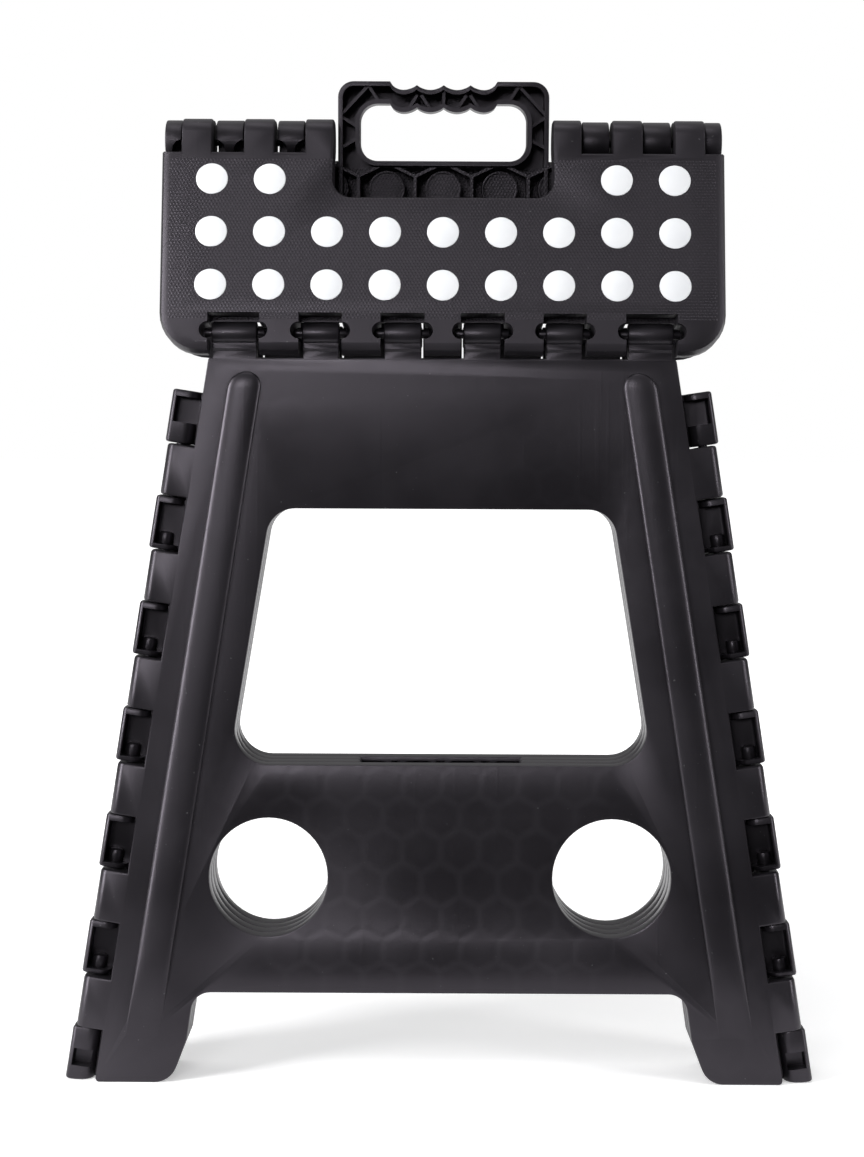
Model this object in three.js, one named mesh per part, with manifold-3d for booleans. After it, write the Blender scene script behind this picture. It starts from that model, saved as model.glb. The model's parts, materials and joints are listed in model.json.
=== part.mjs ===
// Folding step stool, folded flat and standing upright.
// Millimetres, +Z up, +X to the right, front legs towards -Y. Origin on the floor, in the middle.
import * as THREE from 'three';
import { mergeVertices } from 'three/addons/utils/BufferGeometryUtils.js';
import Module from 'manifold-3d';

const wasm = await Module();
wasm.setup();

// ---- driving dimensions ----
const PANEL = 10;              // pitch of the four layers of panels
const GAP = 0.3;               // running gap on each side of a layer
const SKIN = 2.6;              // moulded skin thickness
const WALL = 3;                // rim wall thickness
const LEG_SLOPE = 0.152;       // the legs' outer edges lean in by this much for each millimetre up
const TILT = Math.atan(LEG_SLOPE);
const LEG_TOP = 377.4;
const REAR_LEG_TOP = 371;      // a little lower, to give the rear seat hinge room
const HINGE_X = 187.2;         // side hinge line at the floor, from the middle
const BODY_EDGE = 8;           // a panel's edge, from its hinge line
const FOOT_CLEAR = 1;          // the side panels stop this far above the floor

const WINDOW_LOW = 165.6;
const WINDOW_HIGH = 298.8;
const WINDOW_HALF = 136.6;     // half width of the window, carried down to the floor
const WINDOW_SLOPE = 0.1596;
const WINDOW_LOW_R = 18;
const WINDOW_HIGH_R = 15;
const HOLE_X = 89.3;
const HOLE_Z = 107;
const HOLE_R = 30.8;
const ARCH_TOP = 46.8;
const ARCH_R = 8;
const FOOT_HALF = 134.7;       // inner edge of a foot, carried down to the floor
const FOOT_SLOPE = 0.146;
const FOOT_CUT_Z = 21.7;       // below this the edge slants outwards, to the toe
const FOOT_TOE_X = 139.7;
const FOOT_TOE_R = 12;
const REAR_OPENING = 1.1;      // the rear leg panel's window and feet are this much wider

const BEAD_X = 158.2;          // middle of the raised bead, carried down to the floor
const BEAD_WIDTH = 17.5;
const BEAD_PROUD = 2.6;
const BEAD_LOW = 24;
const BEAD_HIGH = 370;
const BEAD_ROUND = 0.8;        // how round its upper end is

const BARREL_R = 6.3;          // side hinge knuckles
const KNUCKLE_PITCH = 56.1;
const SIDE_KNUCKLES = 7;
const SIDE_KNUCKLE_OUT = 8.3;  // outer face of a side panel's knuckle, from the hinge line
const SIDE_KNUCKLE_FIRST = 13.6;
const SIDE_KNUCKLE_LENGTH = 27.9;
const LEG_KNUCKLE_LENGTH = 26.9;
const LOOSE_ROOM = 0.8;        // taken off each end of a knuckle that carries no pin
const KNUCKLE_ROUND = 4.5;     // rounded outer corner of a leg knuckle
const KNUCKLE_ROOT = 9.5;      // how far a knuckle's root reaches into its panel
const POCKET_HALF = 4.2;       // hollow in the front of a side panel knuckle
const POCKET_LENGTH = 15;
const POCKET_FLOOR = 2.4;
const OVERCUT = 1;             // how far a cutting tool runs past a face

const MID_X = 33;              // upright hinge line between front and rear side panels
const MID_R = 5.7;
const MID_EDGE = 9;
const MID_ROOT = 10.5;         // how far a middle knuckle's root reaches into its panel
const MID_BANDS = [[49, 163.5, 8], [301, 361, 4]];   // low end, high end, knuckles
const MID_GAP = 0.8;
const SIDE_TOP = 363;

const PIN_R = 2.6;             // hinge stubs and the holes that they turn in
const SOCKET_R = 3.1;
const PIN_REACH = 4.6;
const SOCKET_DEPTH = 5.4;
const PIN_SIDES = 8;
const ROUND = 6;               // curve steps round a seat knuckle, for each half turn

const SEAT_HINGE_Y = 19;       // seat hinge line, in front of the middle
const SEAT_HINGE_Z = 390;
const SEAT_HINGE_R = 5.8;
const SEAT_HINGE_DEPTH = 8;    // that line, from the seat's underside
const SEAT_REACH = 103.815;    // from the seat hinge to the centre hinge, along the seat
const SEAT_LIP = 11.5;         // seat beyond its hinge
const LIP_CHAMFER = [7, 8];    // taken off the lip's underside corner: depth and height
const SEAT_HALF = 146.7;
const SEAT_THICK = 19;
const SEAT_CORNER = 21;
const CENTRE_SLOT = 9.8;       // clearance round the centre hinge
const FINGER_REACH = 9.2;
const FINGER_R = 9.2;
const LEG_FINGERS = [[20.7, 9.8], [63.2, 9.6], [108, 11.75]];   // middle, half width
const FINGER_SIDE_GAP = 1.6;
const FRONT_SLOT_TOP = 9.2;
const REAR_SLOT_TOP = 10.6;
const FRONT_FINGERS = [[57.2, 72], [88.2, 103.9], [120.6, 136.3]];
const REAR_FINGERS = [[72.9, 87.3], [104.8, 119.7], [137.2, 145.8]];

const RECESS_HALF = 57.2;      // opening in the front half for the handle
const RECESS_DEPTH = 33.5;
const RECESS_R = 9;
const HANDLE_HALF = 55.9;
const HANDLE_TOP = 32;
const HANDLE_R = 8.4;
const GRIP_HALF = 44.4;        // finger window of the handle
const GRIP_LOW = -9.8;
const GRIP_HIGH = 20.2;
const GRIP_R = 9;
const SCALLOPS = 4;
const SCALLOP_PITCH = 14.2;
const SCALLOP_DIP = 3.6;
const SCALLOP_STEPS = 6;

const DOT_PITCH_X = 30.05;
const DOT_PITCH_Z = 27.8;
const DOT_FIRST = 24.5;        // first row, from the centre hinge
const DOT_COLUMNS = 4;         // columns on each side of the middle one
const DOT_ROWS = 3;
const DOT_HALF_X = 8.3;
const DOT_HALF_Z = 8.05;
const DOT_DEPTH = 1.5;
const DOT_SIDES = 12;

const SIDES = [-1, 1];         // left and right
const SEAT_HEIGHT = Math.sqrt(SEAT_REACH ** 2 + SEAT_HINGE_DEPTH ** 2 - SEAT_HINGE_Y ** 2);
const CENTRE_Z = SEAT_HINGE_Z + SEAT_HEIGHT;
const SEAT_LEAN = Math.atan2(SEAT_HINGE_Y, SEAT_HEIGHT) - Math.atan2(SEAT_HINGE_DEPTH, SEAT_REACH);

// ---- materials ----
function plastic(color, roughness) {
  return new THREE.MeshStandardMaterial({ color, roughness, metalness: 0 });
}
const blackPlastic = plastic(0x2b2b2e, 0.42);
const whitePlastic = plastic(0xf4f6f8, 0.5);

// ---- solids ----
function toSolid(geometry) {
  const bare = geometry.clone();
  bare.deleteAttribute('normal');
  bare.deleteAttribute('uv');
  const merged = mergeVertices(bare, 1e-4);
  return new wasm.Manifold(new wasm.Mesh({
    numProp: 3,
    vertProperties: merged.attributes.position.array,
    triVerts: Uint32Array.from(merged.index.array),
  }));
}

function toGeometry(solid) {
  const mesh = solid.getMesh();
  const geometry = new THREE.BufferGeometry();
  geometry.setAttribute('position', new THREE.BufferAttribute(mesh.vertProperties, 3));
  geometry.setIndex(new THREE.BufferAttribute(mesh.triVerts, 1));
  geometry.computeVertexNormals();
  return geometry;
}

const join = (solids) => solids.reduce((whole, piece) => whole.add(piece));
const cut = (solid, tools) => tools.reduce((rest, tool) => rest.subtract(tool), solid);

// The same solid reflected in a plane through the origin, with its faces turned the right way out.
function reflected(geometry, axis) {
  const scale = { x: [-1, 1, 1], y: [1, -1, 1] }[axis];
  const copy = geometry.clone().scale(...scale);
  const order = copy.index.array;
  for (let i = 0; i < order.length; i += 3) {
    [order[i], order[i + 1]] = [order[i + 1], order[i]];
  }
  copy.computeVertexNormals();
  return copy;
}

// A plate between two depths, from an outline drawn as seen from the front (x, z).
function plate(shape, yFront, yBack, options = {}) {
  const depth = yBack - yFront;
  const geometry = new THREE.ExtrudeGeometry(shape, { depth, bevelEnabled: false, curveSegments: 4, ...options });
  geometry.rotateX(Math.PI / 2).translate(0, yBack, 0);
  return toSolid(geometry);
}

// A bar along X, from an outline in (y, z).
function bar(shape, xLow, xHigh, segments = 3) {
  const geometry = new THREE.ExtrudeGeometry(shape, {
    depth: xHigh - xLow, bevelEnabled: false, curveSegments: segments,
  });
  const turn = new THREE.Matrix4().makeBasis(
    new THREE.Vector3(0, 1, 0), new THREE.Vector3(0, 0, 1), new THREE.Vector3(1, 0, 0));
  geometry.applyMatrix4(turn).translate(xLow, 0, 0);
  return toSolid(geometry);
}

// A column along a hinge line, from an outline in (x, y) about that line.
function column(shape, from, to, place) {
  const geometry = new THREE.ExtrudeGeometry(shape, { depth: to - from, bevelEnabled: false, curveSegments: 3 });
  geometry.translate(0, 0, from).applyMatrix4(place);
  return toSolid(geometry);
}

function block(x0, x1, y0, y1, z0, z1) {
  const geometry = new THREE.BoxGeometry(x1 - x0, y1 - y0, z1 - z0);
  geometry.translate((x0 + x1) / 2, (y0 + y1) / 2, (z0 + z1) / 2);
  return toSolid(geometry);
}

// A regular prism along a hinge line, for pins and the holes they turn in.
function pin(radius, from, to, place) {
  const geometry = new THREE.CylinderGeometry(radius, radius, to - from, PIN_SIDES);
  geometry.rotateX(Math.PI / 2).translate(0, 0, (from + to) / 2).applyMatrix4(place);
  return toSolid(geometry);
}

// ---- outlines ----
// A closed outline through corners given as [x, y, radius].
function rounded(corners, Kind = THREE.Shape) {
  const outline = new Kind();
  const count = corners.length;
  corners.forEach(([x, y, radius = 0], i) => {
    const [px, py] = corners[(i + count - 1) % count];
    const [nx, ny] = corners[(i + 1) % count];
    const before = new THREE.Vector2(px - x, py - y).normalize();
    const after = new THREE.Vector2(nx - x, ny - y).normalize();
    const reach = radius / Math.tan(Math.acos(before.dot(after)) / 2);
    const start = [x + before.x * reach, y + before.y * reach];
    const end = [x + after.x * reach, y + after.y * reach];
    if (i === 0) {
      outline.moveTo(...start);
    } else {
      outline.lineTo(...start);
    }
    if (radius > 0) {
      outline.quadraticCurveTo(x, y, ...end);
    }
  });
  outline.closePath();
  return outline;
}

const circle = (x, y, radius) => new THREE.Path()
  .absarc(x, y, radius, 0, -Math.PI, true)
  .absarc(x, y, radius, -Math.PI, -2 * Math.PI, true);
const bodyHalf = (z, inset) => HINGE_X - (BODY_EDGE + inset) / Math.cos(TILT) - LEG_SLOPE * z;
const windowHalf = (z, inset) => WINDOW_HALF - WINDOW_SLOPE * z + inset;
const footHalf = (z, inset) => FOOT_HALF - FOOT_SLOPE * z + inset;

// Mirrors the right half of an outline, listed upwards, into a whole one.
function bothSides(right) {
  const left = right.map(([x, z, radius]) => [-x, z, radius]).reverse();
  return [...right, ...left];
}

// ---- leg panels ----
// The leg panel's outline; a positive inset gives the hollow behind its skin.
function legOutline(top, wider, inset) {
  const low = inset;
  const high = top - inset;
  const arch = ARCH_TOP + inset;
  const shape = rounded(bothSides([
    [footHalf(arch, inset + wider), arch, ARCH_R],
    [footHalf(FOOT_CUT_Z, inset + wider), FOOT_CUT_Z],
    [FOOT_TOE_X + inset + wider, low, inset ? 0 : FOOT_TOE_R],
    [bodyHalf(low, inset), low],
    [bodyHalf(high, inset), high],
  ]));
  const sill = WINDOW_LOW - inset;
  const lintel = WINDOW_HIGH + inset;
  shape.holes.push(rounded(bothSides([
    [windowHalf(sill, inset + wider), sill, WINDOW_LOW_R],
    [windowHalf(lintel, inset + wider), lintel, WINDOW_HIGH_R],
  ]), THREE.Path));
  for (const side of SIDES) {
    shape.holes.push(circle(side * HOLE_X, HOLE_Z, HOLE_R + inset));
  }
  return shape;
}

// Places a hinge's own frame (x outwards, z up its line) on the right side hinge.
function sideHinge() {
  const turn = new THREE.Matrix4().makeRotationY(-TILT);
  return new THREE.Matrix4().makeTranslation(HINGE_X, -PANEL, 0).multiply(turn);
}

// Flush with the front face, rounded at the outer corner, round behind.
function legKnuckleOutline() {
  const shape = new THREE.Shape();
  shape.moveTo(-KNUCKLE_ROOT, -PANEL);
  shape.lineTo(BARREL_R - KNUCKLE_ROUND, -PANEL);
  shape.absarc(BARREL_R - KNUCKLE_ROUND, KNUCKLE_ROUND - PANEL, KNUCKLE_ROUND, -Math.PI / 2, 0, false);
  shape.lineTo(BARREL_R, 0);
  shape.absarc(0, 0, BARREL_R, 0, Math.PI, false);
  shape.lineTo(-BARREL_R, -GAP);
  shape.lineTo(-KNUCKLE_ROOT, -GAP);
  shape.closePath();
  return shape;
}

// Round towards the leg panel, and boxed out to the stool's side.
function sideKnuckleOutline() {
  const shape = new THREE.Shape();
  shape.moveTo(-KNUCKLE_ROOT, GAP);
  shape.lineTo(-BARREL_R, GAP);
  shape.absarc(0, 0, BARREL_R, Math.PI, 1.5 * Math.PI, false);
  shape.lineTo(SIDE_KNUCKLE_OUT, -BARREL_R);
  shape.lineTo(SIDE_KNUCKLE_OUT, BARREL_R - KNUCKLE_ROUND);
  shape.absarc(SIDE_KNUCKLE_OUT - KNUCKLE_ROUND, BARREL_R - KNUCKLE_ROUND, KNUCKLE_ROUND, 0, Math.PI / 2, false);
  shape.lineTo(-KNUCKLE_ROOT, BARREL_R);
  shape.closePath();
  return shape;
}

// Round, with a web back to its panel.
function middleKnuckleOutline() {
  const shape = new THREE.Shape();
  shape.moveTo(-MID_ROOT, GAP);
  shape.lineTo(-MID_R, GAP);
  shape.absarc(0, 0, MID_R, Math.PI, 2.5 * Math.PI, false);
  shape.lineTo(-MID_ROOT, MID_R);
  shape.closePath();
  return shape;
}

const knuckleMiddle = (i) => SIDE_KNUCKLE_FIRST + i * KNUCKLE_PITCH;

// The leg panel's knuckles on its right edge: pins out of both ends of each, or a little more room.
function legKnuckles(withPins) {
  const place = sideHinge();
  const pieces = [];
  for (let i = 0; i < SIDE_KNUCKLES - 1; i += 1) {
    const middle = knuckleMiddle(i) + KNUCKLE_PITCH / 2;
    const room = withPins ? 0 : LOOSE_ROOM;
    const low = middle - LEG_KNUCKLE_LENGTH / 2 + room;
    const high = middle + LEG_KNUCKLE_LENGTH / 2 - room;
    pieces.push(column(legKnuckleOutline(), low, high, place));
    if (withPins) {
      pieces.push(pin(PIN_R, low - PIN_REACH, high + PIN_REACH, place));
    }
  }
  return join(pieces);
}

// The seat hinge fingers along the top of a leg panel.
function seatFingers(top, withPins) {
  const pieces = [];
  const axis = new THREE.Matrix4().makeTranslation(0, -SEAT_HINGE_Y, SEAT_HINGE_Z)
    .multiply(new THREE.Matrix4().makeRotationY(Math.PI / 2));
  const neckFront = -2 * PANEL;
  const neckBack = -PANEL - GAP - WALL;
  const neck = rounded([
    [neckFront, top - WALL], [neckBack, top - WALL],
    [neckBack, SEAT_HINGE_Z], [neckFront, SEAT_HINGE_Z],
  ]);
  for (const side of SIDES) {
    for (const [middle, half] of LEG_FINGERS) {
      const low = side * middle - half;
      const high = side * middle + half;
      const barrel = new THREE.Shape().absarc(-SEAT_HINGE_Y, SEAT_HINGE_Z, SEAT_HINGE_R, 0, 2 * Math.PI, false);
      pieces.push(bar(barrel, low, high, ROUND));
      pieces.push(bar(neck, low, high));
      if (withPins) {
        const reach = FINGER_SIDE_GAP + PIN_REACH;
        pieces.push(pin(PIN_R, low - reach, high + reach, axis));
      }
    }
  }
  return join(pieces);
}

// The raised bead down a leg, with a round upper end.
function bead() {
  const along = (z) => BEAD_X - LEG_SLOPE * z;
  const half = BEAD_WIDTH / 2;
  const crown = half / 2;          // width of the rounded flank on each side
  const corner = BEAD_ROUND * crown;
  const shape = rounded([
    [along(BEAD_LOW) - half + crown, BEAD_LOW],
    [along(BEAD_LOW) + half - crown, BEAD_LOW],
    [along(BEAD_HIGH) + half - crown, BEAD_HIGH - crown, corner],
    [along(BEAD_HIGH) - half + crown, BEAD_HIGH - crown, corner],
  ]);
  const front = -2 * PANEL;
  return plate(shape, front, front + SKIN / 2, {
    bevelEnabled: true, bevelThickness: BEAD_PROUD, bevelSize: crown, bevelSegments: 2, curveSegments: 3,
  }).subtract(block(-HINGE_X, HINGE_X, front + SKIN / 2, 0, 0, LEG_TOP));
}

// One leg panel in the front position.
function legPanel({ top, wider, seatPins, leftPins, rightPins }) {
  const front = -2 * PANEL;
  const back = -PANEL - GAP;
  const shell = plate(legOutline(top, wider, 0), front, back)
    .subtract(plate(legOutline(top, wider, WALL), front + SKIN, back + OVERCUT));
  const rightBead = bead();
  const right = legKnuckles(rightPins);
  const left = legKnuckles(leftPins);
  const flip = (solid) => toSolid(reflected(toGeometry(solid), 'x'));
  return toGeometry(join([shell, rightBead, flip(rightBead), right, flip(left), seatFingers(top, seatPins)]));
}

// ---- side panels ----
// Outline of the right side panel; a positive inset gives the hollow behind its skin.
function sideOutline(inset) {
  const inner = MID_X + MID_EDGE + inset;
  const low = FOOT_CLEAR + inset;
  const arch = ARCH_TOP + inset;
  const high = SIDE_TOP - inset;
  const sill = WINDOW_LOW - inset;
  const lintel = WINDOW_HIGH + inset;
  const shape = rounded([
    [inner, arch],
    [footHalf(arch, inset), arch, ARCH_R],
    [footHalf(FOOT_CUT_Z, inset), FOOT_CUT_Z],
    [FOOT_TOE_X + inset, low, inset ? 0 : FOOT_TOE_R],
    [bodyHalf(low, inset), low],
    [bodyHalf(high, inset), high],
    [inner, high],
    [inner, lintel],
    [windowHalf(lintel, inset), lintel, WINDOW_HIGH_R],
    [windowHalf(sill, inset), sill, WINDOW_LOW_R],
    [inner, sill],
  ]);
  shape.holes.push(circle(HOLE_X, HOLE_Z, HOLE_R + inset));
  return shape;
}

// Knuckles on a side panel's outer edge, hollow at the front, with a hole in each end for the pins.
function outerKnuckles() {
  const place = sideHinge();
  const pieces = [];
  const holes = [];
  for (let i = 0; i < SIDE_KNUCKLES; i += 1) {
    const middle = knuckleMiddle(i);
    const lowest = i === 0 ? 2 * FOOT_CLEAR + GAP : 0;
    const low = Math.max(middle - SIDE_KNUCKLE_LENGTH / 2, lowest);
    const high = middle + SIDE_KNUCKLE_LENGTH / 2;
    pieces.push(column(sideKnuckleOutline(), low, high, place));
    const pocket = rounded([
      [-POCKET_HALF, -BARREL_R - OVERCUT], [POCKET_HALF, -BARREL_R - OVERCUT],
      [POCKET_HALF, POCKET_FLOOR], [-POCKET_HALF, POCKET_FLOOR],
    ]);
    holes.push(column(pocket, middle - POCKET_LENGTH / 2, middle + POCKET_LENGTH / 2, place));
    holes.push(pin(SOCKET_R, high - SOCKET_DEPTH, high + OVERCUT, place));
    holes.push(pin(SOCKET_R, low - OVERCUT, low + SOCKET_DEPTH, place));
  }
  return cut(join(pieces), holes);
}

// Knuckles on the upright hinge line; the front panel takes the even ones and carries the pins.
function middleKnuckles(isFront) {
  const place = new THREE.Matrix4().makeTranslation(MID_X, 0, 0);
  const pieces = [];
  const holes = [];
  const outline = middleKnuckleOutline();
  const face = (geometry) => toSolid(reflected(toGeometry(geometry), 'x'));
  for (const [low, high, count] of MID_BANDS) {
    const pitch = (high - low) / count;
    for (let i = isFront ? 0 : 1; i < count; i += 2) {
      const from = low + i * pitch + MID_GAP / 2;
      const to = low + (i + 1) * pitch - MID_GAP / 2;
      const knuckle = face(column(outline, from, to, new THREE.Matrix4()));
      const turned = toGeometry(knuckle).applyMatrix4(place);
      const inPanel = isFront ? reflected(turned, 'y') : turned;
      pieces.push(toSolid(inPanel));
      const bottom = i === 0 ? from : from - PIN_REACH;
      const top = i === count - 1 ? to : to + PIN_REACH;
      if (isFront) {
        pieces.push(pin(PIN_R, bottom, top, place));
      } else {
        holes.push(pin(SOCKET_R, from - OVERCUT, from + SOCKET_DEPTH, place));
        holes.push(pin(SOCKET_R, to - SOCKET_DEPTH, to + OVERCUT, place));
      }
    }
  }
  return { pieces, holes };
}

// The right side panel in the front layer, or the rear one when it is reflected in Y.
function sidePanel(isFront) {
  const front = -PANEL + GAP;
  const shell = plate(sideOutline(0), front, -GAP)
    .subtract(plate(sideOutline(WALL), front - OVERCUT, -GAP - SKIN));
  const panel = join([shell, outerKnuckles()]);
  const middle = middleKnuckles(isFront);
  if (isFront) {
    return toGeometry(cut(join([panel, ...middle.pieces]), middle.holes));
  }
  const rear = toSolid(reflected(toGeometry(panel), 'y'));
  return toGeometry(cut(join([rear, ...middle.pieces]), middle.holes));
}

// ---- seat halves ----
// In a seat half's own frame z runs up the seat from the centre hinge, and y is 0 on the underside.
function seatOutline(isFront, inset) {
  const half = SEAT_HALF - inset;
  const low = -SEAT_REACH - SEAT_LIP + inset;
  const high = -CENTRE_SLOT - inset;
  const right = [[half, low, SEAT_CORNER - inset], [half, high]];
  if (isFront) {
    const recess = RECESS_HALF + inset;
    right.push([recess, high], [recess, -RECESS_DEPTH - inset, RECESS_R]);
  } else {
    right.push([HANDLE_HALF - inset, high], [HANDLE_HALF - inset, HANDLE_TOP - inset, HANDLE_R - inset]);
  }
  return rounded(bothSides(right));
}

// The finger window of the handle, with a waved upper edge for the grip.
function gripOutline(inset) {
  const half = GRIP_HALF + inset;
  const low = GRIP_LOW - inset;
  const high = GRIP_HIGH + inset;
  const path = new THREE.Shape();
  path.moveTo(-half + GRIP_R, low);
  path.lineTo(half - GRIP_R, low);
  path.absarc(half - GRIP_R, low + GRIP_R, GRIP_R, -Math.PI / 2, 0, false);
  path.lineTo(half, high - GRIP_R);
  path.absarc(half - GRIP_R, high - GRIP_R, GRIP_R, 0, Math.PI / 2, false);
  wave(path, high);
  path.lineTo(-half + GRIP_R, high);
  path.absarc(-half + GRIP_R, high - GRIP_R, GRIP_R, Math.PI / 2, Math.PI, false);
  path.lineTo(-half, low + GRIP_R);
  path.absarc(-half + GRIP_R, low + GRIP_R, GRIP_R, Math.PI, 1.5 * Math.PI, false);
  return path;
}

// Four finger scallops, from right to left.
function wave(path, level) {
  const right = (SCALLOPS / 2) * SCALLOP_PITCH;
  path.lineTo(right, level);
  for (let i = 1; i <= SCALLOPS * SCALLOP_STEPS; i += 1) {
    const along = i / SCALLOP_STEPS;
    path.lineTo(right - along * SCALLOP_PITCH, level - SCALLOP_DIP * Math.sin(along * Math.PI) ** 2);
  }
}

// What the grip's outer edge loses to the same four scallops.
function gripScallops() {
  const right = (SCALLOPS / 2) * SCALLOP_PITCH;
  const path = new THREE.Shape();
  path.moveTo(right, HANDLE_TOP + OVERCUT);
  wave(path, HANDLE_TOP);
  path.lineTo(-right, HANDLE_TOP + OVERCUT);
  return path;
}

const seatSlots = () => SIDES.flatMap((side) => LEG_FINGERS.map(([middle, half]) => [side * middle, half]));

// The openings for the leg fingers, and the pin holes in their sides.
function seatHingeCuts(slotTop, sockets) {
  const cuts = [];
  const axis = new THREE.Matrix4().makeTranslation(0, -SEAT_HINGE_DEPTH, -SEAT_REACH)
    .multiply(new THREE.Matrix4().makeRotationY(Math.PI / 2));
  for (const [middle, half] of seatSlots()) {
    const open = half + FINGER_SIDE_GAP;
    const low = -SEAT_REACH - SEAT_LIP - OVERCUT;
    const face = -SEAT_THICK - OVERCUT;
    cuts.push(block(middle - open, middle + open, face, OVERCUT, low, -SEAT_REACH + slotTop));
    if (sockets) {
      const depth = open + SOCKET_DEPTH;
      cuts.push(pin(SOCKET_R, middle - depth, middle + depth, axis));
    }
  }
  return cuts;
}

// Hollows between the slots, from the underside, with a wall left beside each slot.
function lipHollows() {
  const slots = seatSlots().sort((a, b) => a[0] - b[0]);
  const ends = slots.map(([middle, half]) => [middle - half - FINGER_SIDE_GAP, middle + half + FINGER_SIDE_GAP]);
  const cheek = SOCKET_DEPTH + WALL / 2;
  const low = -SEAT_REACH - SEAT_LIP + LIP_CHAMFER[1];
  const high = -SEAT_REACH + REAR_SLOT_TOP;
  const hollows = [];
  for (let i = 0; i + 1 < ends.length; i += 1) {
    const from = ends[i][1] + cheek;
    const to = ends[i + 1][0] - cheek;
    hollows.push(block(from, to, -SEAT_THICK + SKIN, OVERCUT, low, high));
  }
  return hollows;
}

// The corner taken off the lip's underside, so that it clears the leg panel's top as the seat turns.
function lipChamfer() {
  const [depth, height] = LIP_CHAMFER;
  const low = -SEAT_REACH - SEAT_LIP;
  const corner = rounded([
    [-depth, low - OVERCUT], [OVERCUT, low - OVERCUT], [OVERCUT, low + height], [0, low + height],
  ]);
  return bar(corner, -SEAT_HALF - OVERCUT, SEAT_HALF + OVERCUT);
}

// The main hollow behind the seat's skin, above the hinge slots.
function seatHollow(isFront) {
  const hollow = plate(seatOutline(isFront, WALL), -SEAT_THICK + SKIN, OVERCUT);
  const rib = -SEAT_REACH + REAR_SLOT_TOP + WALL;
  const face = -SEAT_THICK - OVERCUT;
  return hollow.subtract(block(-SEAT_HALF, SEAT_HALF, face, 2 * OVERCUT, -2 * SEAT_REACH, rib));
}

// Fingers of the centre hinge: flush with the seat's top, with a round pivot on the underside.
function centreFingers(spans, withPins) {
  const pieces = [];
  const axis = new THREE.Matrix4().makeRotationY(Math.PI / 2);
  const root = -CENTRE_SLOT - WALL;
  const body = rounded([
    [-SEAT_THICK, root], [0, root], [0, FINGER_REACH],
    [-SEAT_THICK, FINGER_REACH, KNUCKLE_ROUND / 2],
  ]);
  for (const side of SIDES) {
    spans.forEach((span, i) => {
      const [low, high] = span.map((x) => side * x).sort((a, b) => a - b);
      const barrel = new THREE.Shape().absarc(0, 0, FINGER_R, 0, 2 * Math.PI, false);
      pieces.push(bar(body, low, high, 3));
      pieces.push(bar(barrel, low, high, ROUND));
      if (withPins) {
        const [inner, outer] = [span[0] - (i > 0 ? PIN_REACH : 0), span[1] + PIN_REACH];
        pieces.push(pin(PIN_R, Math.min(side * inner, side * outer), Math.max(side * inner, side * outer), axis));
      }
    });
  }
  return join(pieces);
}

function centreSockets(spans) {
  const axis = new THREE.Matrix4().makeRotationY(Math.PI / 2);
  const holes = [];
  for (const side of SIDES) {
    for (const span of spans) {
      const [low, high] = span.map((x) => side * x).sort((a, b) => a - b);
      holes.push(pin(SOCKET_R, low - OVERCUT, low + SOCKET_DEPTH, axis));
      holes.push(pin(SOCKET_R, high - SOCKET_DEPTH, high + OVERCUT, axis));
    }
  }
  return holes;
}

// Where the anti-slip dots sit, row by row; the handle recess takes the middle of the front half's first row.
function dotPlaces(isFront) {
  const places = [];
  for (let row = 0; row < DOT_ROWS; row += 1) {
    for (let across = -DOT_COLUMNS; across <= DOT_COLUMNS; across += 1) {
      const x = across * DOT_PITCH_X;
      const clear = Math.abs(x) > RECESS_HALF + 2 * DOT_HALF_X;
      if (row > 0 || !isFront || clear) {
        places.push({ row, across, x, z: -DOT_FIRST - row * DOT_PITCH_Z });
      }
    }
  }
  return places;
}

// An oval disc in the seat's top face.
function dotSolid(x, z, grow, depth) {
  const geometry = new THREE.CylinderGeometry(1, 1, depth, DOT_SIDES);
  geometry.scale(DOT_HALF_X + grow, 1, DOT_HALF_Z + grow);
  return geometry.translate(x, -SEAT_THICK + depth / 2, z);
}

function frontSeat() {
  const shell = plate(seatOutline(true, 0), -SEAT_THICK, 0).subtract(seatHollow(true));
  const slots = [...seatHingeCuts(FRONT_SLOT_TOP, true), ...lipHollows(), lipChamfer()];
  const seats = dotPlaces(true).map(({ x, z }) => toSolid(dotSolid(x, z, GAP, DOT_DEPTH + GAP)));
  return toGeometry(cut(join([shell, centreFingers(FRONT_FINGERS, true)]), [...slots, ...seats]));
}

function rearSeat() {
  const face = -SEAT_THICK - OVERCUT;
  const hollow = seatHollow(false).subtract(plate(gripOutline(WALL), face, 2 * OVERCUT));
  const rimLow = GRIP_HIGH + WALL - SCALLOP_DIP;
  const rim = block(-HANDLE_HALF, HANDLE_HALF, face, 2 * OVERCUT, rimLow, HANDLE_TOP);
  const shell = plate(seatOutline(false, 0), -SEAT_THICK, 0).subtract(hollow.subtract(rim));
  const sockets = centreSockets(REAR_FINGERS);
  const slots = [...seatHingeCuts(REAR_SLOT_TOP, false), ...lipHollows(), lipChamfer(), ...sockets];
  const grip = [plate(gripOutline(0), face, OVERCUT), plate(gripScallops(), face, OVERCUT)];
  const seats = dotPlaces(false).map(({ x, z }) => toSolid(dotSolid(x, z, GAP, DOT_DEPTH + GAP)));
  return toGeometry(cut(join([shell, centreFingers(REAR_FINGERS, false)]), [...slots, ...grip, ...seats]));
}

// ---- assembly ----
const stool = new THREE.Group();

function addPart(parent, name, geometry, material) {
  const mesh = new THREE.Mesh(geometry, material);
  mesh.name = name;
  parent.add(mesh);
}

const frontLegs = legPanel({ top: LEG_TOP, wider: 0, leftPins: true, rightPins: true, seatPins: true });
const rearLegs = legPanel({
  top: REAR_LEG_TOP, wider: REAR_OPENING, leftPins: true, rightPins: false, seatPins: false,
});
addPart(stool, 'front_leg_panel', frontLegs, blackPlastic);
addPart(stool, 'rear_leg_panel', reflected(rearLegs, 'y'), blackPlastic);

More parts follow.
